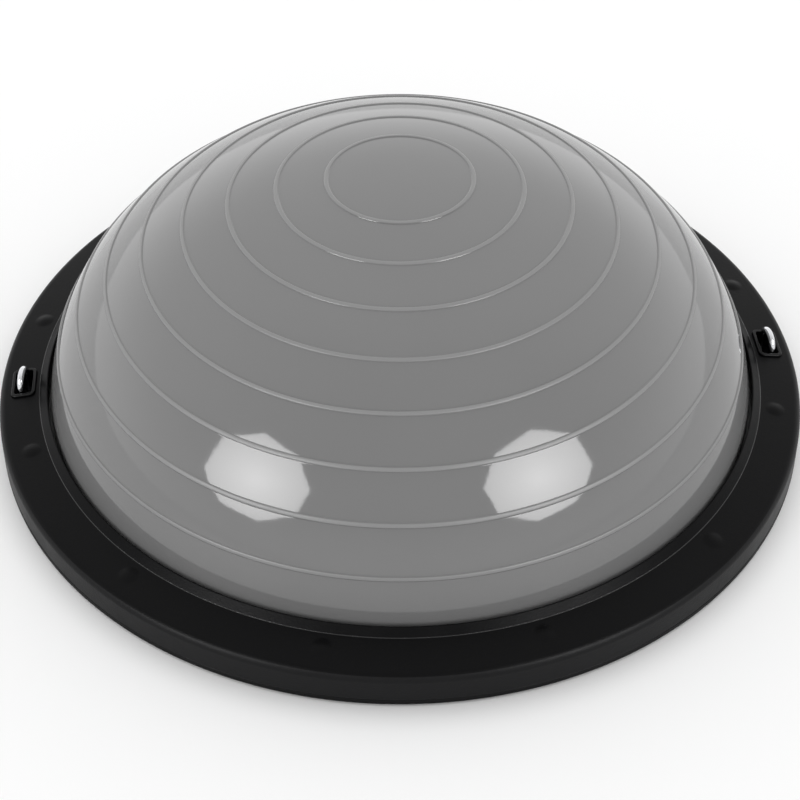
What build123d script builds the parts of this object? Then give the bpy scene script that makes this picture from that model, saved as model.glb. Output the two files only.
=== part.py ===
"""Balance dome trainer: an inflated PVC dome clamped between a moulded rim ring and a flat base plate.

Millimetres, +Z up. The origin is the centre of the footprint, level with the bottom of the rubber pads.
"""
import os
from math import acos, asin, atan, cos, degrees, hypot, radians, sin

from build123d import *

os.makedirs("parts", exist_ok=True)

# Driving dimensions
outer_radius = 290.0            # base plate, and the foot of the rim ring
pad_proud = 2.0                 # the rubber pads stand this far below the base plate
plate_bottom = pad_proud
plate_thickness = 4.0
floor_level = plate_bottom + 9.0        # underside of the bladder, resting on the plate's ribs
dome_radius = 257.5             # half ellipse of the inflated dome, measured from the plate's underside
dome_rise = 196.0
knuckle_level = 93.0            # below this height over the plate the dome turns in on a tighter arc
knuckle_radius = 145.3
crown_radius = 30.0             # inside this radius the crown is a plain ball cap
dome_wall = 4.0
floor_thickness = 3.0
flange_inner = (260.3, plate_bottom + 28.3)     # radius and height of the crease at the collar's foot
flange_outer = (289.4, plate_bottom + 24.6)     # and of the outer edge, before it is rounded
flange_fall = (flange_inner[1] - flange_outer[1]) / (flange_outer[0] - flange_inner[0])
flange_rounding = 6.0
collar_level = plate_bottom + 32.5      # top of the sloped collar round the dome
inner_foot = 255.6              # inside of the ring where it stands on the bead
ring_wall = 3.0
station_radius = 271.0          # circle of the screws and of the raised bumps above them
station_count = 12
anchor_radius = 272.0           # how far out the band anchors stand, on +X and -X

# Ridges moulded round the dome, by their distance from the crown along the surface
ridge_count = 8
first_ridge = 49.7
ridge_pitch = 34.6
ridge_section = 1.5             # radius of the ridge's round section
ridge_sunk = 0.5                # its centre lies this far under the surface

# Bead of the bladder, gripped between ring and plate
bead_radius = 260.5
bead_top = floor_level + floor_thickness

# Valve in the middle of the underside
valve_bore = 5.0
valve_clearance = 0.05
seat_neck = 8.95
seat_bottom = plate_bottom + 6.0
floor_hole = 9.0
well_radius = 20.0

# Band anchors
wire_radius = 2.4
leg_spacing = 18.0
loop_skew = 8.0                 # degrees; the rear leg of each loop stands nearer to the dome
arch_centre = plate_bottom + 29.0
frame_length, frame_width, frame_round = 29.0, 17.5, 4.0
cup_length, cup_width, cup_round = 27.0, 15.5, 3.0
pocket_length, pocket_width, pocket_round = 24.0, 12.5, 2.0
frame_proud = 1.8               # the frame stands this far out of the flange and is let in this deep
frame_sunk = 1.0
seat_clearance = 0.25
cup_floor = plate_bottom + 14.0         # floor of the pocket that the legs go through
cup_floor_thickness = 2.0
steel_thickness = 2.0                   # backing plate under the socket
washer_thickness = 1.0
nut_height = 4.0
nut_flats = 8.0

# Finger recesses for carrying, at the front and back of the underside
recess_inner, recess_outer = 267.0, 284.0
recess_half_angle = 9.5
recess_top = plate_bottom + 17.5
recess_wall = 2.0

# Rubber pads
pad_count = 6
pad_radius = 17.0
pad_circle = 246.0
pad_sunk = 0.5

# Screws that close the shell from below
screw_head_radius, screw_head_height = 4.7, 2.0
head_recess_radius, head_recess_depth = 5.2, 2.3
screw_shank_radius, screw_length = 1.95, 16.0
pilot_radius, clearance_radius = 2.0, 2.6


def save(shape, name):
    shape.label = name
    export_step(shape, "parts/" + name + ".step")


def annulus(inner, outer, low, high):
    """Flat ring between two radii and two heights."""
    return extrude(Pos(0, 0, low) * (Circle(outer) - Circle(inner)), high - low)


def disc(radius, low, high):
    return extrude(Pos(0, 0, low) * Circle(radius), high - low)


def spin(section):
    """Turn a section drawn in radius and height about the vertical axis."""
    return revolve(Plane.XZ * section, axis=Axis.Z)


def outline(corners):
    """Closed section from (radius, height, rounding) corners; a rounding of 0 stays sharp."""
    face = make_face(Polyline([(r, z) for r, z, _ in corners], close=True))
    for r, z, rounding in corners:
        if rounding:
            corner = face.vertices().sort_by_distance((r, z, 0))[0]
            face = fillet(corner, rounding)
    return face


def stations(radius, first_angle, count):
    """Places evenly spaced on a circle, the first at the given angle from +X."""
    return [Rot(0, 0, first_angle + 360 / count * k) * Pos(radius, 0, 0) for k in range(count)]


def dome_curve(inset, level):
    """Half profile of the dome from a height up to the crown, inset from its outer surface.

    The foot turns in on an arc, the side is part of an ellipse and the crown is a plain ball cap.
    """
    a = dome_radius - inset
    b = dome_rise - inset
    start = asin(knuckle_level / dome_rise)
    end = acos(crown_radius / a)
    base = (0, plate_bottom)
    side = EllipticalCenterArc(base, a, b, start_angle=degrees(start), arc_size=degrees(end - start))
    crown_height = b * sin(end)
    centre_height = crown_height * (1 - (a / b) ** 2)
    ball_radius = hypot(crown_radius, crown_height - centre_height)
    ball_centre = (0, plate_bottom + centre_height)
    crown_start = degrees(acos(crown_radius / ball_radius))
    crown = CenterArc(ball_centre, ball_radius, crown_start, 90 - crown_start)
    arc_radius = knuckle_radius - inset
    inward = (side % 0).rotate(Axis.Z, 90)
    centre = (side @ 0) + inward * arc_radius
    low_angle = degrees(asin((level - centre.Y) / arc_radius))
    high_angle = degrees(asin(-inward.Y))
    foot = CenterArc((centre.X, centre.Y), arc_radius, low_angle, high_angle - low_angle)
    return Wire([foot, side, crown])


def dome_bladder():
    """PVC bladder: ridged dome, flat floor with the valve hole, and the clamped bead round its foot."""
    skin = dome_curve(0, bead_top)
    lining = dome_curve(dome_wall, bead_top)
    top_edge = Line(skin @ 1, lining @ 1)
    foot_edge = Line(lining @ 0, skin @ 0)
    shell = make_face(skin.edges() + lining.edges() + [top_edge, foot_edge])
    floor_middle = (floor_hole + bead_radius) / 2
    floor = Pos(floor_middle, floor_level + floor_thickness / 2) * Rectangle(
        bead_radius - floor_hole, floor_thickness)
    section = shell + floor
    for k in range(ridge_count):
        t = 1 - (first_ridge + k * ridge_pitch) / skin.length
        inward = (skin % t).rotate(Axis.Z, 90)
        centre = (skin @ t) + inward * ridge_sunk
        section += Pos(centre.X, centre.Y) * Circle(ridge_section)
    return spin(section)


def valve_seat():
    """Grommet that grips the bladder's floor, with the bore that the plug closes."""
    flange = 1.5
    inside = annulus(valve_bore, 16.0, bead_top, bead_top + flange)
    neck = annulus(valve_bore, seat_neck, seat_bottom, bead_top)
    outside = annulus(valve_bore, 12.0, floor_level - flange, floor_level)
    return inside + neck + outside


def valve_plug():
    """Push-in plug: stem, stop flange against the seat, and a flat tab to pull it out by."""
    stem_top = plate_bottom + 16.0
    stem = disc(valve_bore - valve_clearance, seat_bottom, stem_top)
    stem = chamfer(stem.edges().group_by(Axis.Z)[-1], 1.5)
    flange_bottom = seat_bottom - 1.5
    flange = disc(8.0, flange_bottom, seat_bottom)
    tab_bottom = plate_bottom + 0.8
    tab_middle = (flange_bottom + tab_bottom) / 2
    tab = Pos(0, 0, tab_middle) * Box(11.0, 3.0, flange_bottom - tab_bottom)
    tab = fillet(tab.edges().filter_by(Axis.Y).group_by(Axis.Z)[0], 1.5)
    return stem + flange + tab


def flange_height(radius):
    """Height of the ring's flange, which falls gently towards the outside."""
    return flange_inner[1] - (radius - flange_inner[0]) * flange_fall


def on_flange(radius):
    """Place on the flange, tilted with it, for a piece that is drawn at the origin."""
    return Pos(0, 0, flange_height(radius)) * Rot(0, degrees(atan(flange_fall)), 0)


def rim_ring():
    """Moulded ring: skirt, sloping flange, collar round the dome, screw bosses, webs and socket seats."""
    plate_top = plate_bottom + plate_thickness
    under = ring_wall + 0.1
    inner_corner = inner_foot + ring_wall - 0.8
    section = outline([
        (outer_radius, plate_top, 0.8),
        (*flange_outer, flange_rounding),
        (*flange_inner, 1.0),
        (255.0, collar_level, 0.8),
        (254.1, collar_level, 0.4),
        (inner_foot, bead_top, 0),
        (bead_radius + 0.5, bead_top, 0),
        (bead_radius + 0.5, bead_top + 2.5, 0),
        (inner_foot + ring_wall, bead_top + 2.5, 0),
        (inner_corner, flange_height(inner_corner) - under, 0),
        (outer_radius - ring_wall - 0.4, flange_height(outer_radius - ring_wall) - under, 2.5),
        (outer_radius - ring_wall, plate_top, 0),
    ])
    ring = spin(section)
    plain_height = flange_height(station_radius) - ring_wall
    boss = Pos(0, 0, plate_top) * extrude(Circle(5.0), plain_height - plate_top + 1.2)
    bump_radius, bump_height = 6.5, 1.5
    ball_radius = (bump_radius ** 2 + bump_height ** 2) / (2 * bump_height)
    ball = Pos(0, 0, bump_height - ball_radius) * Sphere(ball_radius)
    bump = on_flange(station_radius) * (ball & disc(bump_radius + 3, -1.0, 2 * bump_height))
    pilot = disc(pilot_radius, plate_top - 1, plain_height - 1)
    for place in stations(station_radius, 180 / station_count, station_count):
        ring += place * boss
        ring += place * bump
        ring -= place * pilot
    web_start = inner_foot + ring_wall / 2
    web_end = outer_radius - ring_wall / 2
    web_low = bead_top + 2.0
    web_face = outline([
        (web_start, web_low, 0),
        (web_end, web_low, 0),
        (web_end, flange_height(web_end) - ring_wall + 0.4, 0),
        (web_start, flange_height(web_start) - ring_wall + 0.4, 0),
    ])
    web = extrude(Plane.XZ * web_face, 1.0, both=True)
    for angle in range(0, 360, 30):
        if angle % 90:
            ring += Rot(0, 0, angle) * web
    opening = Pos(0, 0, plate_top) * extrude(
        RectangleRounded(cup_width + 0.2, cup_length + 0.2, cup_round + 0.1), 2 * cup_floor)
    seat = on_flange(anchor_radius) * Pos(0, 0, -frame_sunk) * extrude(RectangleRounded(
        frame_width + 2 * seat_clearance, frame_length + 2 * seat_clearance, frame_round + seat_clearance), 5)
    for place in stations(anchor_radius, 0, 2):
        ring -= place * opening
        ring -= place * seat
    return ring


def recess_block(inner, outer, half_angle, low, high):
    """Curved block along the rim, centred on +X."""
    arc_outer = CenterArc((0, 0), outer, -half_angle, 2 * half_angle)
    arc_inner = CenterArc((0, 0), inner, -half_angle, 2 * half_angle)
    ends = [Line(arc_outer @ 1, arc_inner @ 1), Line(arc_inner @ 0, arc_outer @ 0)]
    face = make_face([arc_outer, arc_inner] + ends)
    return extrude(Pos(0, 0, low) * face, high - low)


def base_plate():
    """Flat bottom plate: stiffening ribs, clamping ledge, valve well, finger recesses and grip ridges."""
    top = plate_bottom + plate_thickness
    plate = disc(outer_radius, plate_bottom, top)
    plate = fillet(plate.edges().group_by(Axis.Z)[0], 0.6)
    plate = chamfer(plate.edges().group_by(Axis.Z)[-1], 0.4)
    rib_width = 2.5
    ring_ribs = [60.0, 110.0, 160.0, 210.0]
    ledge_radius = 250.0
    for radius in ring_ribs:
        plate += annulus(radius, radius + rib_width, top - 0.5, floor_level)
    plate += annulus(ledge_radius, bead_radius + 0.5, top - 0.5, floor_level)
    rib_start = ring_ribs[0] + 1
    rib_end = ledge_radius + 1
    rib_low = top - 0.5
    rib = Pos((rib_start + rib_end) / 2, 0, (rib_low + floor_level) / 2) * Box(
        rib_end - rib_start, rib_width, floor_level - rib_low)
    for place in stations(0, 180 / station_count, station_count):
        plate += place * rib
    plate += disc(well_radius + 2.5, top - 0.5, floor_level - 0.2)
    plate -= disc(well_radius, plate_bottom - 1, floor_level + 1)
    for radius in (80.0, 120.0, 160.0, 200.0):
        plate += annulus(radius, radius + 2.5, plate_bottom - 0.8, plate_bottom + 0.5)
    wall_angle = degrees(recess_wall / recess_inner)
    for side in (90, -90):
        plate += Rot(0, 0, side) * recess_block(
            recess_inner - 0.8, recess_outer + recess_wall, recess_half_angle + wall_angle,
            top - 0.5, recess_top + recess_wall)
        plate -= Rot(0, 0, side) * recess_block(
            recess_inner + 0.7, recess_outer, recess_half_angle, plate_bottom - 1, recess_top)
    for place in stations(station_radius, 180 / station_count, station_count):
        plate -= place * disc(clearance_radius, plate_bottom - 1, top + 1)
        plate -= place * disc(head_recess_radius, plate_bottom - 1, plate_bottom + head_recess_depth)
    for place in stations(pad_circle, 0, pad_count):
        plate -= place * disc(pad_radius + 0.2, plate_bottom - 1, plate_bottom + pad_sunk)
    return plate


def rim_screws():
    """Self-tapping screws with cross recesses, driven up through the plate into the ring's bosses."""
    head_top = plate_bottom + head_recess_depth
    head = disc(screw_head_radius, head_top - screw_head_height, head_top)
    head = fillet(head.edges().group_by(Axis.Z)[0], 1.0)
    shank = disc(screw_shank_radius, head_top, head_top + screw_length)
    shank = chamfer(shank.edges().group_by(Axis.Z)[-1], 1.2)
    slot = Pos(0, 0, head_top - screw_head_height) * (Box(5.0, 1.1, 2.0) + Box(1.1, 5.0, 2.0))
    screw = head + shank - slot
    places = stations(station_radius, 180 / station_count, station_count)
    return Compound([place * screw for place in places])


def foot_pad():
    """Round rubber pad let into the underside."""
    pad = disc(pad_radius, 0, pad_proud + pad_sunk)
    return fillet(pad.edges().group_by(Axis.Z)[0], 0.8)


def leg_places():
    """Where the two legs of a band loop stand, from the middle of its socket."""
    return [Rot(0, 0, loop_skew) * Pos(0, end * leg_spacing / 2, 0) for end in (-1, 1)]


def anchor_socket():
    """Moulded socket: a frame let into the flange round a deep pocket, with two leg holes in its floor."""
    frame = Pos(0, 0, -frame_sunk) * extrude(
        RectangleRounded(frame_width, frame_length, frame_round), frame_sunk + frame_proud)
    frame = fillet(frame.edges().group_by(Axis.Z)[-1], 0.8)
    cup_bottom = cup_floor - cup_floor_thickness
    cup_top = flange_height(anchor_radius) + 0.4
    cup = Pos(0, 0, cup_bottom) * extrude(
        RectangleRounded(cup_width, cup_length, cup_round), cup_top - cup_bottom)
    pocket = Pos(0, 0, cup_floor) * extrude(
        RectangleRounded(pocket_width, pocket_length, pocket_round), 2 * cup_floor)
    socket = on_flange(anchor_radius) * frame + cup - pocket
    for place in leg_places():
        socket -= place * disc(wire_radius + 0.15, cup_bottom - 1, cup_floor + 1)
    return socket


def anchor_loop():
    """Steel rod bent to a U, its arch above the flange and both threaded ends under the socket."""
    leg_end = plate_bottom + 4.6
    half = leg_spacing / 2
    leg_up = Line((0, -half, leg_end), (0, -half, arch_centre))
    arch = ThreePointArc((0, -half, arch_centre), (0, 0, arch_centre + half), (0, half, arch_centre))
    leg_down = Line((0, half, arch_centre), (0, half, leg_end))
    path = Wire([leg_up, arch, leg_down])
    section = Pos(0, -half, leg_end) * Circle(wire_radius)
    return Rot(0, 0, loop_skew) * sweep(section, path)


def anchor_backing():
    """Steel strip under the socket that spreads the pull of the loop."""
    top = cup_floor - cup_floor_thickness
    strip = Pos(0, 0, top - steel_thickness) * extrude(RectangleRounded(13.0, 30.0, 3.0), steel_thickness)
    for place in leg_places():
        strip -= place * disc(wire_radius + 0.15, 0, top + 1)
    return strip


def anchor_washers():
    top = cup_floor - cup_floor_thickness - steel_thickness
    washer = annulus(wire_radius + 0.15, 4.9, top - washer_thickness, top)
    return Compound([place * washer for place in leg_places()])


def anchor_nuts():
    """Hexagon nuts on the threaded ends of the loop."""
    top = cup_floor - cup_floor_thickness - steel_thickness - washer_thickness
    corner_radius = nut_flats / 2 / cos(radians(30))
    blank = Pos(0, 0, top - nut_height) * extrude(RegularPolygon(corner_radius, 6), nut_height)
    nut = blank - disc(wire_radius + 0.05, 0, top + 1)
    return Compound([place * nut for place in leg_places()])


save(dome_bladder(), "dome_bladder")
save(valve_seat(), "valve_seat")
save(valve_plug(), "valve_plug")
save(rim_ring(), "rim_ring")
save(base_plate(), "base_plate")
save(rim_screws(), "rim_screws")

for number, place in enumerate(stations(pad_circle, 0, pad_count), start=1):
    save(place * foot_pad(), "foot_pad_" + str(number))

anchor_pieces = {
    "anchor_socket": anchor_socket(),
    "anchor_loop": anchor_loop(),
    "anchor_backing": anchor_backing(),
    "anchor_washers": anchor_washers(),
    "anchor_nuts": anchor_nuts(),
}
for name, piece in anchor_pieces.items():
    right = Pos(anchor_radius, 0, 0) * piece
    save(right, name + "_right")
    save(mirror(right, about=Plane.YZ), name + "_left")
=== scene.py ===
import math

import bmesh
import bpy
from mathutils import Matrix, Vector


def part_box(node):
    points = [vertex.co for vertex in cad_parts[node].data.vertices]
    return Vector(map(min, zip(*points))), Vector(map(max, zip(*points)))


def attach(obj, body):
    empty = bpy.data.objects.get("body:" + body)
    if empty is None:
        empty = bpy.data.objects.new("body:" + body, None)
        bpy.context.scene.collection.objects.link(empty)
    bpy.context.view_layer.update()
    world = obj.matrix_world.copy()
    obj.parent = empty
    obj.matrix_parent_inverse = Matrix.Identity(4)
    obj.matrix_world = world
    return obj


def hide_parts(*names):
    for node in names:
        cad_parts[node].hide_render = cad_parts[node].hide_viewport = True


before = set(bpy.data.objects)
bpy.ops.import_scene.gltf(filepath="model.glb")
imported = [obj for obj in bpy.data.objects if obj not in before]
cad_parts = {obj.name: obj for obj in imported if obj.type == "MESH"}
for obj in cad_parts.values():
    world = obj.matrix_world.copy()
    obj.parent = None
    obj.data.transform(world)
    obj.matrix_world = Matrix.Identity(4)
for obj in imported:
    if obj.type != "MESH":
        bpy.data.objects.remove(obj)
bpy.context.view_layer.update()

scene = bpy.context.scene

# ---------------------------------------------------------------------------
# Camera: a long lens on a stand in front of the trainer, looking down on it
# from a little above shoulder height for someone kneeling beside it.
# ---------------------------------------------------------------------------
camera_distance = 1.341
camera_elevation = math.radians(42.63)
camera_turn = math.radians(-4.6)            # the trainer stands turned a little to the camera
camera_target = Vector((0.0, 0.0, -0.0073))
camera_sensor, camera_lens = 36.0, 81.11    # width of the sensor and focal length, in millimetres
camera_near = 0.05

camera = bpy.data.objects.new("camera", bpy.data.cameras.new("camera"))
scene.collection.objects.link(camera)
scene.camera = camera
camera.data.sensor_width = camera_sensor
camera.data.lens = camera_lens
camera.data.clip_start = camera_near
camera_out = Vector((
    math.sin(camera_turn) * math.cos(camera_elevation),
    -math.cos(camera_turn) * math.cos(camera_elevation),
    math.sin(camera_elevation),
))
camera.location = camera_target + camera_out * camera_distance
camera.rotation_euler = (-camera_out).to_track_quat("-Z", "Y").to_euler()
scene.view_settings.view_transform = "Standard"

# ---------------------------------------------------------------------------
# Studio: a white room, a pale painted floor and two eight-sided softboxes in
# front, left and right, which the glossy dome mirrors.
# ---------------------------------------------------------------------------


def linear(hex_colour):
    """An sRGB hex colour as linear RGBA."""
    channels = [int(hex_colour[i:i + 2], 16) / 255 for i in (1, 3, 5)]
    return [c / 12.92 if c <= 0.04045 else ((c + 0.055) / 1.055) ** 2.4 for c in channels] + [1.0]


def node(tree, kind, sockets=None, **settings):
    """One shader node; a socket takes either a fixed value or another node's output."""
    made = tree.nodes.new("ShaderNode" + kind)
    for name, value in settings.items():
        setattr(made, name, value)
    for name, value in (sockets or {}).items():
        if isinstance(value, bpy.types.NodeSocket):
            tree.links.new(value, made.inputs[name])
        else:
            made.inputs[name].default_value = value
    return made


def new_material(name):
    """An empty node material and its tree."""
    made = bpy.data.materials.new(name)
    made.use_nodes = True
    made.node_tree.nodes.clear()
    return made, made.node_tree


def finish_material(tree, shader):
    """Puts a shader on the material's surface."""
    node(tree, "OutputMaterial", {"Surface": shader.outputs[0]})


def per_mm(size):
    """Texture scale for a pattern whose features are this many millimetres across."""
    return 1000.0 / size


def link(obj):
    """Puts an object into the scene."""
    scene.collection.objects.link(obj)
    return obj


world = bpy.data.worlds.new("white_room")
scene.world = world
world.use_nodes = True
world.node_tree.nodes.clear()
tree = world.node_tree
way = node(tree, "SeparateXYZ", {0: node(tree, "TexCoord").outputs["Generated"]})
wall_strength, ceiling_strength = 1.58, 1.17    # the white walls are brighter than the ceiling
wall_end, ceiling_start = 0.05, 0.5             # upward share of the direction where each takes over
front_share = 0.72                              # the side behind the camera is darker
front_end, back_start = -0.5, 0.4
walls = node(tree, "MapRange", {
    "Value": way.outputs["Z"],
    "From Min": wall_end,
    "From Max": ceiling_start,
    "To Min": wall_strength,
    "To Max": ceiling_strength,
}, interpolation_type="SMOOTHSTEP")
depth = node(tree, "MapRange", {
    "Value": way.outputs["Y"],
    "From Min": front_end,
    "From Max": back_start,
    "To Min": front_share,
    "To Max": 1.0,
}, interpolation_type="SMOOTHSTEP")
level = node(tree, "Math", {0: walls.outputs[0], 1: depth.outputs[0]}, operation="MULTIPLY")
room = node(tree, "Background", {"Color": linear("#ffffff"), "Strength": level.outputs[0]})
node(tree, "OutputWorld", {"Surface": room.outputs[0]})

floor_half = 4.0
floor_patch_mm = 40.0
floor_mesh = bpy.data.meshes.new("studio_floor")
floor_corners = [
    (x * floor_half, y * floor_half, 0.0)
    for x, y in ((-1, -1), (1, -1), (1, 1), (-1, 1))
]
floor_mesh.from_pydata(floor_corners, [], [(0, 1, 2, 3)])
floor = link(bpy.data.objects.new("studio_floor", floor_mesh))
# White floor paint put on with a roller: matte, and not quite even from patch to patch.
floor_paint, tree = new_material("pale_floor_paint")
floor_grain = node(tree, "TexNoise", {"Scale": per_mm(floor_patch_mm), "Detail": 3.0})
floor_tone = node(tree, "MapRange", {"Value": floor_grain.outputs[0], "To Min": 0.55, "To Max": 0.65})
finish_material(tree, node(tree, "BsdfPrincipled", {
    "Base Color": linear("#fcfcfc"),
    "Roughness": floor_tone.outputs[0],
    "Specular IOR Level": 0.2,
}))
floor_mesh.materials.append(floor_paint)

softbox_sides = 8
softbox_distance = 1.6
softbox_aim = Vector((0.0, -0.2, 0.11))     # the part of the dome that mirrors them
softbox_middle, softbox_edge = 1.18, 0.76   # shares of its strength that a softbox gives there
# Turn and height in degrees, radius in metres, strength.
softboxes = {
    "softbox_left": (-56.0, 27.0, 0.485, 9.7),
    "softbox_right": (45.0, 28.8, 0.505, 9.7),
}
for name, (turn, height, radius, strength) in softboxes.items():
    away = Vector((
        math.sin(math.radians(turn)) * math.cos(math.radians(height)),
        -math.cos(math.radians(turn)) * math.cos(math.radians(height)),
        math.sin(math.radians(height)),
    ))
    corners = []
    for k in range(softbox_sides):
        angle = (k + 0.5) * 2 * math.pi / softbox_sides
        corners.append((radius * math.cos(angle), radius * math.sin(angle), 0.0))
    screen = bpy.data.meshes.new(name)
    screen.from_pydata(corners, [], [tuple(range(softbox_sides))])
    box = link(bpy.data.objects.new(name, screen))
    box.location = softbox_aim + away * softbox_distance
    box.rotation_euler = (-away).to_track_quat("Z", "Y").to_euler()
    box.visible_camera = False
    box.visible_diffuse = False             # a card that is only mirrored; the room gives the light
    # White diffusing cloth: brightest in the middle, where the lamp is behind it.
    glow, tree = new_material(name + "_cloth")
    place = node(tree, "TexCoord")
    reach = node(tree, "VectorMath", {0: place.outputs["Object"]}, operation="LENGTH")
    fade = node(tree, "MapRange", {
        "Value": reach.outputs["Value"],
        "From Min": 0.0,
        "From Max": radius,
        "To Min": strength * softbox_middle,
        "To Max": strength * softbox_edge,
    })
    finish_material(tree, node(tree, "Emission", {"Strength": fade.outputs[0]}))
    screen.materials.append(glow)

# ---------------------------------------------------------------------------
# Dome bladder: soft PVC, blown in one piece with a flat floor, eight low
# ridges and a bead round its foot that the rim ring grips. Its mould is
# polished, so it is glossy, with a faint waviness from the inflated skin.
# ---------------------------------------------------------------------------
MM = 0.001                                  # metres in a millimetre
plate_low = 2.0                             # underside of the base plate above the floor
dome_radius = 257.5
dome_rise = 196.0
dome_wall = 4.0
bead_low, bead_high = 11.0, 14.0
bead_radius = 260.5
bead_rounding = 0.8
valve_hole = 9.0
ridge_count = 8
first_ridge = 49.7
ridge_pitch = 34.6
ridge_half = 1.7                            # half the width of a ridge, and how far it stands out
ridge_stand = 0.9
frost_margin = 0.3                          # the frosted band is this much narrower on each side
knuckle_level = 93.0                        # below this the side turns in on a tighter arc
knuckle_radius = 145.3
lining_step = 16.0


def dome_run(inset, low, step):
    """A dome's half profile from the crown down: distance from the crown, point and normal."""
    a, b = dome_radius - inset, dome_rise - inset
    turn = math.pi / 2 - math.asin(knuckle_level / dome_rise)
    knee = Vector((a * math.sin(turn), plate_low + b * math.cos(turn)))
    knee_normal = Vector((knee.x / a ** 2, (knee.y - plate_low) / b ** 2)).normalized()
    radius = knuckle_radius - inset
    centre = knee - knee_normal * radius
    high_angle = math.asin(knee_normal.y)
    low_angle = math.asin((low - centre.y) / radius)
    fine = 3000
    curve = []
    for k in range(fine):
        angle = turn * k / fine
        point = Vector((a * math.sin(angle), plate_low + b * math.cos(angle)))
        normal = Vector((point.x / a ** 2, (point.y - plate_low) / b ** 2)).normalized()
        curve.append((point, normal))
    for k in range(fine + 1):
        angle = high_angle + (low_angle - high_angle) * k / fine
        normal = Vector((math.cos(angle), math.sin(angle)))
        curve.append((centre + normal * radius, normal))
    run = []
    distance = wanted = 0.0
    last = curve[0][0]
    for index, (point, normal) in enumerate(curve):
        distance += (point - last).length
        last = point
        if distance >= wanted or index == len(curve) - 1:
            run.append((distance, point, normal))
            wanted = step(distance)
    return run


def off_ridge(distance):
    """How far this place along the profile is from the middle of the nearest ridge."""
    nearest = round((distance - first_ridge) / ridge_pitch)
    nearest = min(max(nearest, 0), ridge_count - 1)
    return distance - first_ridge - nearest * ridge_pitch


def ridge_height(distance):
    """How far a moulded ridge stands out of the skin here: a low band with rounded shoulders."""
    share = min(abs(off_ridge(distance)) / ridge_half, 1.0)
    return ridge_stand * math.sqrt(1 - share ** 3)


def dome_step(distance):
    """Close points across a ridge, wide ones between ridges."""
    coarse, fine, margin = 4.0, 0.25, 0.8
    reach = ridge_half + margin
    off = off_ridge(distance)
    if abs(off) < reach:
        return distance + fine
    if off < 0 and off + coarse > -reach:
        return distance - off - reach + 0.01
    return distance + coarse


def shade(mesh, sharp=32.0):
    """Smooth shading, with an edge kept wherever faces meet at more than this angle."""
    mesh.polygons.foreach_set("use_smooth", [True] * len(mesh.polygons))
    mesh.set_sharp_from_angle(angle=math.radians(sharp))


def solid(name, vertices, faces, material=None, sharp=32.0):
    """A shaded object from points in millimetres."""
    mesh = bpy.data.meshes.new(name)
    mesh.from_pydata([Vector(v) * MM for v in vertices], [], faces)
    form = bmesh.new()
    form.from_mesh(mesh)
    bmesh.ops.recalc_face_normals(form, faces=form.faces)
    form.to_mesh(mesh)
    form.free()
    if material:
        mesh.materials.append(material)
    shade(mesh, sharp)
    return link(bpy.data.objects.new(name, mesh))


def even_angles(count):
    """Equal steps once round the axis."""
    return [2 * math.pi * k / count for k in range(count)]


def turned_shape(profile, angles, closed=True):
    """Vertices and faces of a (radius, height) profile turned about the vertical axis."""
    vertices, rows = [], []
    for radius, height in profile:
        row = []
        if radius < 1e-6:
            vertices.append((0.0, 0.0, height))
            row = [len(vertices) - 1] * len(angles)
        else:
            for angle in angles:
                vertices.append((radius * math.cos(angle), radius * math.sin(angle), height))
                row.append(len(vertices) - 1)
        rows.append(row)
    pairs = list(zip(rows, rows[1:]))
    if closed:
        pairs.append((rows[-1], rows[0]))
    faces = []
    for lower, upper in pairs:
        for k in range(len(angles)):
            n = (k + 1) % len(angles)
            corners = []
            for index in (lower[k], lower[n], upper[n], upper[k]):
                if index not in corners:
                    corners.append(index)
            if len(corners) > 2:
                faces.append(corners)
    return vertices, faces


def rounded(corners, steps=5, closed=True):
    """Outline points from (x, y, rounding) corners, each rounding drawn as an arc."""
    points = []
    for index, (x, y, rounding) in enumerate(corners):
        here = Vector((x, y))
        if not rounding:
            points.append((x, y))
            continue
        before = (Vector(corners[index - 1][:2]) - here).normalized()
        after = (Vector(corners[(index + 1) % len(corners)][:2]) - here).normalized()
        half = before.angle(after) / 2
        setback = rounding / math.tan(half)
        middle = here + (before + after).normalized() * (rounding / math.sin(half))
        start = here + before * setback - middle
        turn = (here + after * setback - middle).angle_signed(start)
        for k in range(steps + 1):
            arm = start.copy()
            arm.rotate(Matrix.Rotation(turn * k / steps, 2))
            points.append(tuple(middle + arm))
    return points


skin = []
frosted = []                                # which steps of the profile lie on a ridge
for distance, point, normal in dome_run(0.0, bead_high, dome_step):
    place = point + normal * ridge_height(distance)
    skin.append((place.x, place.y))
    frosted.append(abs(off_ridge(distance)) < ridge_half - frost_margin)
skin[0] = (0.0, skin[0][1])
lining_run = dome_run(dome_wall, bead_high, lambda distance: distance + lining_step)
lining = [tuple(point) for _, point, _ in lining_run]
bead = rounded([
    (bead_radius, bead_high, bead_rounding),
    (bead_radius, bead_low, bead_rounding),
    (valve_hole, bead_low, 0.0),
    (valve_hole, bead_high, 0.0),
])
dome_profile = skin + bead + lining[::-1]
dome_angles = even_angles(320)


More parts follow.
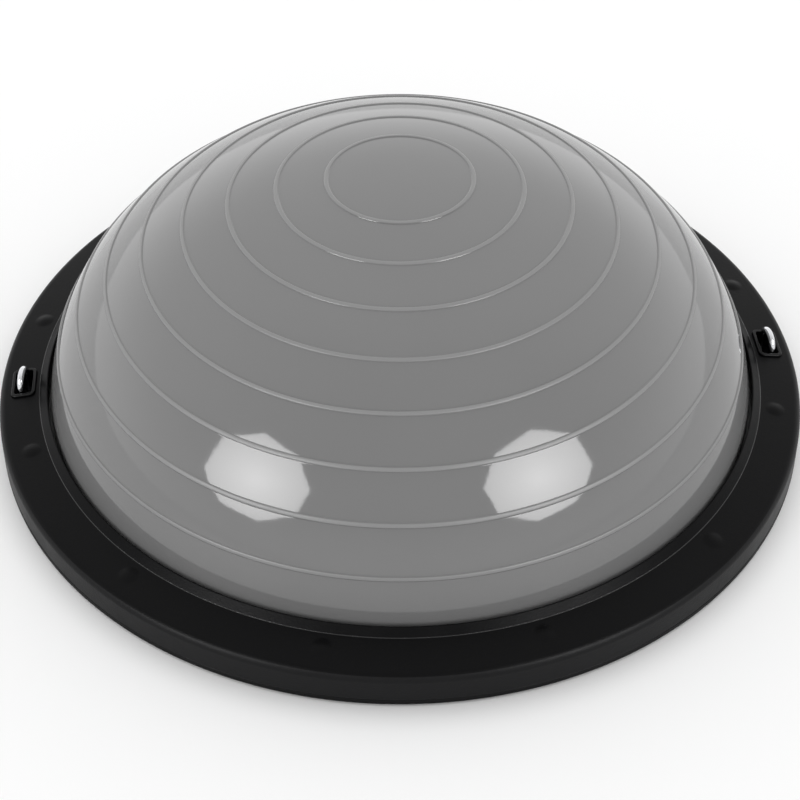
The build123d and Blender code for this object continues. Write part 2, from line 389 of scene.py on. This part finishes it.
def glossy_pvc(name, colour, shine):
    """Plasticised PVC off a mould: glossy but a little wavy, with faint clouding and haze."""
    cloud_mm, haze_mm, wave_mm, peel_mm = 90.0, 25.0, 60.0, 2.2
    made, tree = new_material(name)
    place = node(tree, "TexCoord").outputs["Object"]
    cloud = node(tree, "TexNoise", {
        "Vector": place, "Scale": per_mm(cloud_mm), "Detail": 4.0, "Roughness": 0.55})
    tone = node(tree, "MixRGB", {
        "Fac": cloud.outputs[0],
        "Color1": linear(colour[0]),
        "Color2": linear(colour[1]),
    })
    haze = node(tree, "TexNoise", {
        "Vector": place, "Scale": per_mm(haze_mm), "Detail": 6.0, "Roughness": 0.7})
    dull = node(tree, "MapRange", {
        "Value": haze.outputs[0],
        "From Min": 0.3,
        "From Max": 0.75,
        "To Min": shine[0],
        "To Max": shine[1],
    })
    wave = node(tree, "TexNoise", {"Vector": place, "Scale": per_mm(wave_mm), "Detail": 1.0})
    peel = node(tree, "TexNoise", {"Vector": place, "Scale": per_mm(peel_mm), "Detail": 2.0})
    wavy = node(tree, "Bump", {"Height": wave.outputs[0], "Strength": 0.2, "Distance": 0.0009})
    skin_bump = node(tree, "Bump", {
        "Height": peel.outputs[0],
        "Strength": 0.25,
        "Distance": 0.00003,
        "Normal": wavy.outputs[0],
    })
    finish_material(tree, node(tree, "BsdfPrincipled", {
        "Base Color": tone.outputs[0],
        "Roughness": dull.outputs[0],
        "IOR": 1.53,
        "Normal": skin_bump.outputs[0],
    }))
    return made


# The skin is as smooth as its polished mould and mirrors the room. The ridges are matte and a
# little paler, so they show as thin frosted bands.
dome_pvc = glossy_pvc("dome_pvc", ("#747474", "#797979"), (0.045, 0.075))
ridge_pvc = glossy_pvc("dome_pvc_frosted", ("#808080", "#858585"), (0.38, 0.5))
dome = solid("dome_skin", *turned_shape(dome_profile, dome_angles, closed=False), dome_pvc)
dome.data.materials.append(ridge_pvc)
for k, face in enumerate(dome.data.polygons):
    step = k // len(dome_angles)
    if step + 1 < len(skin) and frosted[step] and frosted[step + 1]:
        face.material_index = 1
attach(dome, "trainer")
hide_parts("dome_bladder")

# ---------------------------------------------------------------------------
# Rim ring: black polypropylene, injection moulded in one piece: skirt, gently
# sloping flange, collar, screw bosses and a low round bump over each. It is
# screwed down on the dome's bead. The spark-eroded tool leaves a matte grain.
# ---------------------------------------------------------------------------
outer_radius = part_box("base_plate")[1].x / MM
plate_high = plate_low + 4.0
flange_inner = (260.3, plate_low + 28.3)    # the crease at the collar's foot
flange_outer = (289.4, plate_low + 24.6)    # the outer edge before it is rounded
flange_fall = (flange_inner[1] - flange_outer[1]) / (flange_outer[0] - flange_inner[0])
flange_rounding, crease_rounding = 6.0, 1.0
collar = plate_low + 32.5
collar_outer, collar_inner = 255.0, 254.1
foot_rounding, collar_rounding, lip_rounding, hollow_rounding = 0.8, 0.8, 0.4, 2.5
ring_wall = 3.0
inner_foot = 255.6
past_bead, foot_thickness = 0.5, 2.5        # the foot on the bead: how far past it, and how thick
station_radius = 271.0                      # circle of the screws and of the bumps over them
station_count = 12
bump_radius, bump_height = 7.2, 1.1
bump_reach = 8.2                            # the flange is finely divided this far round a bump's middle
anchor_radius = 272.0                       # how far out the band loops stand


def station_angle(k, count=station_count, first=0.5):
    """Direction of one of several equal stations round the ring."""
    return (k + first) * 2 * math.pi / count


def thick_and_thin_angles(coarse_degrees, fine_degrees, reach_degrees):
    """Angles round the ring, close together where the bumps are."""
    angles = []
    for k in range(station_count):
        centre = math.degrees(station_angle(k))
        count = round(2 * reach_degrees / fine_degrees)
        angles += [centre - reach_degrees + 2 * reach_degrees * i / count for i in range(count + 1)]
        gap = 360 / station_count - 2 * reach_degrees
        plain = round(gap / coarse_degrees)
        angles += [centre + reach_degrees + gap * i / plain for i in range(1, plain)]
    return [math.radians(a) for a in angles]


ring_angles = thick_and_thin_angles(1.1, 0.22, 1.6)


def flange_height(radius):
    """Height of the flange, which falls gently towards the outside."""
    return flange_inner[1] - (radius - flange_inner[0]) * flange_fall


under = ring_wall + 0.1                     # the hollow's ceiling lies this far below the flange
inner_corner = inner_foot + ring_wall - 0.8
hollow_outer = outer_radius - ring_wall
hollow_draft = 0.4                          # the skirt's inside leans in this much towards the top
ring_outer = rounded([
    (outer_radius, plate_high, foot_rounding),
    (*flange_outer, flange_rounding),
    (*flange_inner, crease_rounding),
    (collar_outer, collar, collar_rounding),
    (collar_inner, collar, lip_rounding),
    (inner_foot, bead_high, 0.0),
    (bead_radius + past_bead, bead_high, 0.0),
    (bead_radius + past_bead, bead_high + foot_thickness, 0.0),
    (inner_foot + ring_wall, bead_high + foot_thickness, 0.0),
    (inner_corner, flange_height(inner_corner) - under, 0.0),
    (hollow_outer - hollow_draft, flange_height(hollow_outer) - under, hollow_rounding),
    (hollow_outer, plate_high, 0.0),
], steps=7)


def finely_split(profile, low, high, step):
    """The profile with extra points between two radii of the flange."""
    flange_low = plate_low + 20             # the flange's whole slope lies above this
    out = []
    for index, point in enumerate(profile):
        out.append(point)
        ahead = profile[(index + 1) % len(profile)]
        if point[0] > high and ahead[0] < low and point[1] > flange_low:
            for i in range(round((high - low) / step) + 1):
                radius = high - step * i
                out.append((radius, flange_height(radius)))
    return out


ring_profile = finely_split(
    ring_outer, station_radius - bump_reach, station_radius + bump_reach, 1.0)
ring_vertices, ring_faces = turned_shape(ring_profile, ring_angles)


def bump(x, y):
    """Height of the moulded bumps over the flange at a place on the ring."""
    step = 2 * math.pi / station_count
    turn = math.atan2(y, x)
    nearest = (math.floor(turn / step) + 0.5) * step
    off = math.hypot(
        x - station_radius * math.cos(nearest), y - station_radius * math.sin(nearest))
    if off >= bump_radius:
        return 0.0
    return bump_height * (1 - (off / bump_radius) ** 2) ** 1.5


on_flange = 0.02                            # closer to the flange's slope than this is on it
ring_vertices = [
    (x, y, z + bump(x, y)) if abs(z - flange_height(math.hypot(x, y))) < on_flange else (x, y, z)
    for x, y, z in ring_vertices
]


def rectangle_loop(length, width, rounding, height, steps=6):
    """A rounded rectangle at a height, width along X and length along Y."""
    across, along = width / 2, length / 2
    corners = [(across, -along), (across, along), (-across, along), (-across, -along)]
    return [(x, y, height) for x, y in rounded([(x, y, rounding) for x, y in corners], steps)]


def lofted_shape(loops):
    """Vertices and faces through equal closed loops, with both ends closed."""
    count = len(loops[0])
    vertices = [v for loop in loops for v in loop]
    faces = []
    for level in range(len(loops) - 1):
        for k in range(count):
            n = (k + 1) % count
            here, ahead = level * count, (level + 1) * count
            faces.append((here + k, here + n, ahead + n, ahead + k))
    faces.append(tuple(range(count)))
    faces.append(tuple((len(loops) - 1) * count + k for k in range(count)))
    return vertices, faces


def moved(shape, turn=0.0, out=0.0, along=0.0):
    """A shape shifted by (out, along) and then turned about the vertical axis."""
    vertices, faces = shape
    cosine, sine = math.cos(turn), math.sin(turn)
    placed = []
    for x, y, z in vertices:
        x, y = x + out, y + along
        placed.append((x * cosine - y * sine, x * sine + y * cosine, z))
    return placed, faces


def joined(shapes):
    """Several shapes as one."""
    vertices, faces = [], []
    for more_vertices, more_faces in shapes:
        start = len(vertices)
        vertices += more_vertices
        faces += [[start + i for i in face] for face in more_faces]
    return vertices, faces


def carve(target, shape, operation):
    """Cuts a shape out of a piece, or welds it on, and keeps the result as plain mesh."""
    tool = solid("tool", *shape)
    change = target.modifiers.new("carve", "BOOLEAN")
    change.operation = operation
    change.solver = "EXACT"
    change.object = tool
    evaluated = target.evaluated_get(bpy.context.evaluated_depsgraph_get())
    result = bpy.data.meshes.new_from_object(evaluated)
    target.modifiers.clear()
    old = target.data
    target.data = result
    result.name = old.name + "_carved"
    bpy.data.meshes.remove(old)
    tool_mesh = tool.data
    bpy.data.objects.remove(tool)
    bpy.data.meshes.remove(tool_mesh)
    shade(result)


def even_out(target):
    """Lets the large flat faces set the shading of the small ones that round their edges."""
    change = target.modifiers.new("even_shading", "WEIGHTED_NORMAL")
    change.keep_sharp = True
    change.weight = 90


def block(low, high):
    """A plain box shape, used only to weld or cut."""
    (x0, y0, z0), (x1, y1, z1) = low, high
    loops = [[(x1, y0, z), (x1, y1, z), (x0, y1, z), (x0, y0, z)] for z in (z0, z1)]
    return lofted_shape(loops)


def rod(radius, low, high, sides=24):
    """An upright round bar shape."""
    profile = [(0.0, low), (radius, low), (radius, high), (0.0, high)]
    return turned_shape(profile, even_angles(sides), closed=False)


def eroded_plastic(name, colour, shine, grain_mm, depth_mm, specular):
    """Black moulded plastic with the fine even pitting of a spark-eroded tool, a little rubbed."""
    # A real eroded grain is a few tenths of a millimetre wide. It is drawn coarser, to show.
    lump_mm = grain_mm * 2.7
    rubbed_mm = 35.0
    made, tree = new_material(name)
    place = node(tree, "TexCoord").outputs["Object"]
    pits = node(tree, "TexVoronoi", {"Vector": place, "Scale": per_mm(grain_mm), "Randomness": 1.0},
                feature="SMOOTH_F1")
    pits.inputs["Smoothness"].default_value = 0.6
    lumps = node(tree, "TexNoise", {"Vector": place, "Scale": per_mm(lump_mm), "Detail": 3.0})
    relief = node(tree, "Math", {0: pits.outputs["Distance"], 1: lumps.outputs[0]}, operation="ADD")
    rubbed = node(tree, "TexNoise", {
        "Vector": place, "Scale": per_mm(rubbed_mm), "Detail": 6.0, "Roughness": 0.65})
    tone = node(tree, "MixRGB", {
        "Fac": rubbed.outputs[0], "Color1": linear(colour[0]), "Color2": linear(colour[1])})
    dull = node(tree, "MapRange", {
        "Value": rubbed.outputs[0],
        "From Min": 0.3,
        "From Max": 0.7,
        "To Min": shine[0],
        "To Max": shine[1],
    })
    pitted = node(tree, "Bump", {
        "Height": relief.outputs[0], "Strength": 0.7, "Distance": depth_mm * MM})
    finish_material(tree, node(tree, "BsdfPrincipled", {
        "Base Color": tone.outputs[0],
        "Roughness": dull.outputs[0],
        "IOR": 1.49,
        "Specular IOR Level": specular,
        "Normal": pitted.outputs[0],
    }))
    return made


ring_plastic = eroded_plastic(
    "rim_polypropylene", ("#080809", "#0c0c0d"), (0.28, 0.40),
    grain_mm=0.9, depth_mm=0.08, specular=0.07)
ring = solid("rim_moulding", ring_vertices, ring_faces, ring_plastic)

socket_openings = []
frame_length, frame_width, frame_round = 29.0, 17.5, 4.0
cup_length, cup_width, cup_round = 27.0, 15.5, 3.0
frame_proud, frame_sunk = 1.8, 1.0          # the frame stands out of the flange and is let into it
seat_gap, cup_gap = 0.25, 0.2


def leaning(loop):
    """A level loop drawn round a socket's middle, tilted to lie along the flange."""
    return [(x, y, z - x * flange_fall) for x, y, z in loop]


socket_height = flange_height(anchor_radius)
for turn in (0.0, math.pi):
    opening = [
        rectangle_loop(cup_length + cup_gap, cup_width + cup_gap, cup_round, height)
        for height in (plate_high, socket_height + 1)
    ]
    seat = [
        leaning(rectangle_loop(
            frame_length + 2 * seat_gap,
            frame_width + 2 * seat_gap,
            frame_round + seat_gap,
            height))
        for height in (socket_height - frame_sunk, socket_height + 5)
    ]
    for loops in (opening, seat):
        socket_openings.append(moved(lofted_shape(loops), turn, anchor_radius))
for shape in socket_openings:
    carve(ring, shape, "DIFFERENCE")

boss_radius, pilot_radius = 5.0, 2.0
weld = 1.0                                  # how far a boss reaches into the flange
under_flange = flange_height(station_radius) - ring_wall + weld
web_half, web_weld = 1.0, 0.4
web_start, web_end = inner_foot + 1.5, outer_radius - 1.5
web_low = bead_high + 2.0
bosses_and_webs = []
for k in range(station_count):
    boss = turned_shape([
        (pilot_radius, plate_high),
        (boss_radius, plate_high),
        (boss_radius, under_flange),
        (pilot_radius, under_flange),
    ], even_angles(24))
    bosses_and_webs.append(moved(boss, station_angle(k), station_radius))
    # At each quarter turn a socket or a finger recess takes the web's place.
    if k % 3:
        web = lofted_shape([[
            (web_start, y, web_low),
            (web_end, y, web_low),
            (web_end, y, flange_height(web_end) - ring_wall + web_weld),
            (web_start, y, flange_height(web_start) - ring_wall + web_weld),
        ] for y in (-web_half, web_half)])
        bosses_and_webs.append(moved(web, k * math.pi / 6))
carve(ring, joined(bosses_and_webs), "UNION")
even_out(ring)

# The skirt, the faces that look outwards, has a coarser grain than the flange and a paler colour; the
# paleness is painted light for the light the outer wall catches. The crease at the collar's foot is
# glossier, with a deeper grain, so it glints in fine specks.
skirt_plastic_painted_light = eroded_plastic(
    "skirt_polypropylene_painted_light", ("#161617", "#1b1b1c"), (0.34, 0.46),
    grain_mm=1.1, depth_mm=0.10, specular=0.09)
ring.data.materials.append(skirt_plastic_painted_light)
crease_plastic = eroded_plastic(
    "crease_polypropylene", ("#0a0a0b", "#101011"), (0.14, 0.28),
    grain_mm=0.7, depth_mm=0.26, specular=0.5)
ring.data.materials.append(crease_plastic)
skirt_inside = (outer_radius - 4.0) * MM
skirt_facing = 0.7                          # a face that looks outwards at least this much is skirt
crease_radius, crease_half = flange_inner[0] * MM, 0.45 * MM
crease_low = (flange_inner[1] - 1.0) * MM
for face in ring.data.polygons:
    outward = face.normal.x * face.center.x + face.normal.y * face.center.y
    reach = math.hypot(face.center.x, face.center.y)
    # faces that look outwards take the skirt's paler colour, which is painted light for the lit outer
    # wall
    if reach > skirt_inside and outward > skirt_facing * reach:
        face.material_index = 1
    elif abs(reach - crease_radius) < crease_half and face.center.z > crease_low:
        face.material_index = 2
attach(ring, "trainer")
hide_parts("rim_ring")

# ---------------------------------------------------------------------------
# Base plate: black polypropylene, a flat disc with its edge showing as a thin
# lip under the rim ring. Grip ridges, a valve well, two finger recesses and
# the screw and pad seats are moulded in the underside, stiffening ribs above.
# ---------------------------------------------------------------------------
well_radius = 20.0
rib_high = bead_low
rib_width = 2.5
ridge_radii = (80.0, 120.0, 160.0, 200.0)
grip_ridge, grip_lean = 0.8, 0.2            # how deep the grip ridges are, and how much their sides lean
grip_foot_rounding, grip_rounding = 0.2, 0.35
ring_ribs = (60.0, 110.0, 160.0, 210.0)
well_wall, well_rounding, well_drop = 2.5, 1.0, 0.2
edge_rounding, edge_chamfer = 0.6, 0.4
ledge_radius = 250.0                        # inside of the ledge that carries the bead
recess_inner, recess_outer = 267.7, 284.0
recess_half = math.radians(9.5)
recess_high = plate_low + 17.5
recess_wall = 2.0
pad_circle, pad_radius, pad_sunk = 246.0, 17.0, 0.5
pad_count = 6
head_recess_radius, head_recess_depth = 5.2, 2.3
clearance_radius = 2.6

plate_corners = [(well_radius, plate_low, well_rounding)]
for radius in ridge_radii:
    plate_corners += [
        (radius, plate_low, grip_foot_rounding),
        (radius + grip_lean, plate_low - grip_ridge, grip_rounding),
        (radius + rib_width - grip_lean, plate_low - grip_ridge, grip_rounding),
        (radius + rib_width, plate_low, grip_foot_rounding),
    ]
plate_corners += [
    (outer_radius, plate_low, edge_rounding),
    (outer_radius, plate_high - edge_chamfer, 0.0),
    (outer_radius - edge_chamfer, plate_high, 0.0),
    (bead_radius + past_bead, plate_high, 0.0),
    (bead_radius + past_bead, rib_high, 0.0),
    (ledge_radius, rib_high, 0.0),
    (ledge_radius, plate_high, 0.0),
]
for radius in reversed(ring_ribs):
    plate_corners += [
        (radius + rib_width, plate_high, 0.0),
        (radius + rib_width, rib_high, 0.0),
        (radius, rib_high, 0.0),
        (radius, plate_high, 0.0),
    ]
plate_corners += [
    (well_radius + well_wall, plate_high, 0.0),
    (well_radius + well_wall, rib_high - well_drop, 0.0),
    (well_radius, rib_high - well_drop, 0.0),
]
# The plate's grain is the coarsest, which makes it the dullest of the mouldings.
plate_plastic = eroded_plastic(
    "plate_polypropylene", ("#09090a", "#0e0e0f"), (0.42, 0.56),
    grain_mm=1.3, depth_mm=0.14, specular=0.09)
plate_profile = rounded(plate_corners, steps=3)
plate = solid("plate_moulding", *turned_shape(plate_profile, even_angles(360)), plate_plastic)


def rim_block(inner, outer, half_angle, low, high, steps=24):
    """A block bent to the rim, centred on +X."""
    arc = [half_angle * (2 * k / steps - 1) for k in range(steps + 1)]
    line = [(outer * math.cos(a), outer * math.sin(a)) for a in arc]
    line += [(inner * math.cos(a), inner * math.sin(a)) for a in reversed(arc)]
    return lofted_shape([[(x, y, z) for x, y in line] for z in (low, high)])


added, removed = [], []
wall_angle = recess_wall / recess_inner
for turn in (math.pi / 2, -math.pi / 2):
    added.append(moved(rim_block(
        recess_inner - 1.5, recess_outer + recess_wall, recess_half + wall_angle,
        plate_high - 0.5, recess_high + recess_wall), turn))
    removed.append(moved(rim_block(
        recess_inner, recess_outer, recess_half, plate_low - 1, recess_high), turn))
for k in range(station_count):
    rib = block(
        (ring_ribs[0] + 1, -rib_width / 2, plate_high - 0.5),
        (ledge_radius + 1, rib_width / 2, rib_high - 0.05))
    added.append(moved(rib, k * math.pi / 6))
    hole = rod(clearance_radius, plate_low - 1, plate_high + 1)
    recess = rod(head_recess_radius, plate_low - 2, plate_low + head_recess_depth, 32)
    removed.append(moved(hole, station_angle(k), station_radius))
    removed.append(moved(recess, station_angle(k), station_radius))
for k in range(pad_count):
    seat = rod(pad_radius + 0.2, plate_low - 1, plate_low + pad_sunk, 64)
    removed.append(moved(seat, station_angle(k, pad_count, 0.0), pad_circle))
carve(plate, joined(added), "UNION")
carve(plate, joined(removed), "DIFFERENCE")
even_out(plate)
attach(plate, "trainer")
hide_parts("base_plate")

# ---------------------------------------------------------------------------
# Sockets for the band loops: black nylon inserts pressed into the flange, a
# rounded frame round a deep pocket. Their tool is polished, so they shine a
# little more than the ring round them.
# ---------------------------------------------------------------------------
pocket_length, pocket_width, pocket_round = 24.0, 12.5, 2.0
frame_high = socket_height + frame_proud
frame_edge, pocket_edge = 0.9, 0.5          # roundings of the frame's outer and inner edge
pocket_low = plate_low + 14.0
cup_low = pocket_low - 2.0
leg_gap = 0.15
wire_radius = 2.4
leg_spacing = 18.0
loop_skew = math.radians(8.0)               # the rear leg stands nearer to the dome
sides = ("right", "left")


def on_side(shape, side):
    """A shape drawn round its socket's middle, put in place on the right or mirrored to the left."""
    vertices, faces = moved(shape, out=anchor_radius)
    if side == "left":
        vertices = [(-x, y, z) for x, y, z in vertices]
    return vertices, faces


def socket_loops():
    """Loops from under the cup, up its outside, over the frame and down into the pocket."""
    loops = [
        rectangle_loop(cup_length, cup_width, cup_round, cup_low),
        leaning(rectangle_loop(cup_length, cup_width, cup_round, socket_height - frame_sunk)),
        leaning(rectangle_loop(frame_length, frame_width, frame_round, socket_height - frame_sunk)),
    ]
    steps = 5
    for k in range(steps + 1):
        swing = math.pi / 2 * k / steps
        inset = 2 * frame_edge * (1 - math.cos(swing))
        rise = frame_edge * math.sin(swing)
        loops.append(leaning(rectangle_loop(
            frame_length - inset,
            frame_width - inset,
            frame_round - inset / 2,
            frame_high - frame_edge + rise)))
    for k in range(steps + 1):
        swing = math.pi / 2 * k / steps
        spread = 2 * pocket_edge * (1 - math.sin(swing))
        drop = pocket_edge * (1 - math.cos(swing))
        loops.append(leaning(rectangle_loop(
            pocket_length + spread,
            pocket_width + spread,
            pocket_round + spread / 2,
            frame_high - drop)))
    # The pocket narrows a little towards its floor and rounds into it.
    for narrower, tighter, above in ((0.6, 0.0, 0.6), (1.4, 0.4, 0.0)):
        loops.append(rectangle_loop(
            pocket_length - narrower,
            pocket_width - narrower,
            pocket_round - tighter,
            pocket_low + above))
    return loops


socket_plastic = eroded_plastic(
    "socket_nylon", ("#060607", "#09090a"), (0.26, 0.36),
    grain_mm=0.7, depth_mm=0.02, specular=0.16)
for side in sides:
    socket = solid("socket_" + side, *on_side(lofted_shape(socket_loops()), side), socket_plastic)
    leg_holes = []
    for end in (-1, 1):
        hole = rod(wire_radius + leg_gap, cup_low - 1, pocket_low + 1, 32)
        leg_holes.append(on_side(moved(moved(hole, along=end * leg_spacing / 2), loop_skew), side))
    carve(socket, joined(leg_holes), "DIFFERENCE")
    even_out(socket)
    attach(socket, "trainer")
    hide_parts("anchor_socket_" + side)

# ---------------------------------------------------------------------------
# Band loops: 4.8 mm steel rod bent to a U, its ends threaded for the nuts
# under the socket, then polished and chromed, with hairline scratches from
# the hooks of the bands.
# ---------------------------------------------------------------------------
arch_centre = plate_low + 29.0
leg_low = plate_low + 4.6
thread_high = plate_low + 13.0
thread_pitch = 0.8
thread_depth = 0.25
tip_scales = (0.72, 0.9)                    # the rod's ends are rounded off in two steps
tip_step = 0.3


def loop_shape(sides_round=28, arch_steps=36):
    """The bent rod as a tube with rounded ends, its lower stretches grooved as a thread."""
    half = leg_spacing / 2
    stations = []
    leg_points = [(leg_low, tip_scales[0]), (leg_low + tip_step, tip_scales[1])]
    z = leg_low + 2 * tip_step
    crest = False
    while z < thread_high:
        leg_points.append((z, 1.0 if crest else 1.0 - thread_depth / wire_radius))
        z += thread_pitch / 2
        crest = not crest
    leg_points.append((thread_high + tip_step, 1.0))
    leg_points.append((arch_centre, 1.0))
    for height, scale in leg_points:
        stations.append((Vector((0, -half, height)), Vector((0, 1, 0)), scale))
    for k in range(1, arch_steps):
        swing = math.pi * k / arch_steps
        inward = Vector((0, math.cos(swing), -math.sin(swing)))
        stations.append((Vector((0, 0, arch_centre)) - inward * half, inward, 1.0))
    for height, scale in reversed(leg_points):
        stations.append((Vector((0, half, height)), Vector((0, -1, 0)), scale))
    loops = []
    for centre, inward, scale in stations:
        loop = []
        for k in range(sides_round):
            angle = 2 * math.pi * k / sides_round
            arm = inward * math.cos(angle) + Vector((1, 0, 0)) * math.sin(angle)
            loop.append(tuple(centre + arm * wire_radius * scale))
        loops.append(loop)
    return lofted_shape(loops)


def bright_metal(name, colour, shine, scratch_mm):
    """Plated steel: bright, with hairline scratches and a faint dulling where it is handled."""
    # Real hairlines are finer than a tenth of a millimetre. They are drawn coarser, to show.
    handled_mm = 6.0
    made, tree = new_material(name)
    place = node(tree, "TexCoord").outputs["Object"]
    drawn = node(tree, "Mapping", {
        "Vector": place, "Scale": (1.0, 0.12, 1.0), "Rotation": (0.4, 0.2, 0.7)})
    scratch = node(tree, "TexNoise", {
        "Vector": drawn.outputs[0], "Scale": per_mm(scratch_mm), "Detail": 4.0, "Roughness": 0.7})
    handled = node(tree, "TexNoise", {"Vector": place, "Scale": per_mm(handled_mm), "Detail": 5.0})
    dull = node(tree, "MapRange", {
        "Value": handled.outputs[0],
        "From Min": 0.35,
        "From Max": 0.7,
        "To Min": shine[0],
        "To Max": shine[1],
    })
    tone = node(tree, "MixRGB", {
        "Fac": handled.outputs[0], "Color1": linear(colour[0]), "Color2": linear(colour[1])})
    lined = node(tree, "Bump", {"Height": scratch.outputs[0], "Strength": 0.2, "Distance": 0.00004})
    finish_material(tree, node(tree, "BsdfPrincipled", {
        "Base Color": tone.outputs[0],
        "Metallic": 1.0,
        "Roughness": dull.outputs[0],
        "Normal": lined.outputs[0],
    }))
    return made


chrome = bright_metal("chromed_steel", ("#d9dadc", "#c9cacd"), (0.05, 0.14), scratch_mm=0.5)
for side in sides:
    bent_rod = on_side(moved(loop_shape(), loop_skew), side)
    loop = solid("band_loop_" + side, *bent_rod, chrome, sharp=50.0)
    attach(loop, "trainer")
    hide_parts("anchor_loop_" + side)

# ---------------------------------------------------------------------------
# Steel under the sockets: a strip, washers and nuts on each loop's ends, out
# of sight in the ring's hollow, and the twelve screws that close the shell.
# All are bright zinc-plated, so a little duller and bluer than the loops.
# ---------------------------------------------------------------------------
zinc = bright_metal("zinc_plate", ("#b4b8bd", "#9a9ea3"), (0.25, 0.42), scratch_mm=1.2)
zinc_nodes = ["rim_screws"]
for side in sides:
    zinc_nodes += ["anchor_" + kind + "_" + side for kind in ("backing", "washers", "nuts")]
for name in zinc_nodes:
    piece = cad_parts[name]
    piece.data.materials.clear()
    piece.data.materials.append(zinc)

# ---------------------------------------------------------------------------
# Rubber pads: six moulded discs glued into seats in the underside, with round
# grip rings on the face that meets the floor.
# ---------------------------------------------------------------------------


def soft_rubber(name, colour):
    """Matte black rubber with a dusty bloom and a fine dimpled skin."""
    bloom_mm, dimple_mm = 9.0, 0.5
    made, tree = new_material(name)
    place = node(tree, "TexCoord").outputs["Object"]
    bloom = node(tree, "TexNoise", {
        "Vector": place, "Scale": per_mm(bloom_mm), "Detail": 6.0, "Roughness": 0.7})
    tone = node(tree, "MixRGB", {
        "Fac": bloom.outputs[0], "Color1": linear(colour[0]), "Color2": linear(colour[1])})
    dimples = node(tree, "TexNoise", {"Vector": place, "Scale": per_mm(dimple_mm), "Detail": 2.0})
    dimpled = node(tree, "Bump", {
        "Height": dimples.outputs[0], "Strength": 0.4, "Distance": 0.00005})
    dull = node(tree, "MapRange", {"Value": bloom.outputs[0], "To Min": 0.72, "To Max": 0.9})
    finish_material(tree, node(tree, "BsdfPrincipled", {
        "Base Color": tone.outputs[0],
        "Roughness": dull.outputs[0],
        "IOR": 1.52,
        "Specular IOR Level": 0.3,
        "Normal": dimpled.outputs[0],
    }))
    return made


pad_rubber = soft_rubber("pad_rubber", ("#1b1b1c", "#2a2a2b"))
pad_high = plate_low + pad_sunk
groove_radii = (4.0, 8.0, 12.0)
groove_width, groove_depth, groove_lean, groove_rounding = 1.6, 0.7, 0.3, 0.25
pad_corners = [(0.0, 0.0, 0.0)]
for radius in groove_radii:
    pad_corners += [
        (radius, 0.0, groove_rounding),
        (radius + groove_lean, groove_depth, groove_rounding),
        (radius + (groove_width - groove_lean), groove_depth, groove_rounding),
        (radius + groove_width, 0.0, groove_rounding),
    ]
pad_corners += [(pad_radius, 0.0, 0.8), (pad_radius, pad_high, 0.2), (0.0, pad_high, 0.0)]
pad_shape = turned_shape(rounded(pad_corners, steps=3), even_angles(72), closed=False)
for k in range(pad_count):
    pad_in_place = moved(pad_shape, station_angle(k, pad_count, 0.0), pad_circle)
    pad = solid("rubber_pad_" + str(k + 1), *pad_in_place, pad_rubber)
    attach(pad, "trainer")
    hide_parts("foot_pad_" + str(k + 1))

# ---------------------------------------------------------------------------
# Valve: a grey PVC grommet welded in the bladder's floor, and the black plug
# that is pushed into it, with a flat tab to pull it out by.
# ---------------------------------------------------------------------------
valve_pvc = glossy_pvc("valve_pvc", ("#6a6a6a", "#727272"), (0.22, 0.32))
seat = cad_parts["valve_seat"]
seat.data.materials.clear()
seat.data.materials.append(valve_pvc)

plug_rubber = soft_rubber("plug_rubber", ("#161617", "#202021"))
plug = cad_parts["valve_plug"]
plug.data.materials.clear()
plug.data.materials.append(plug_rubber)
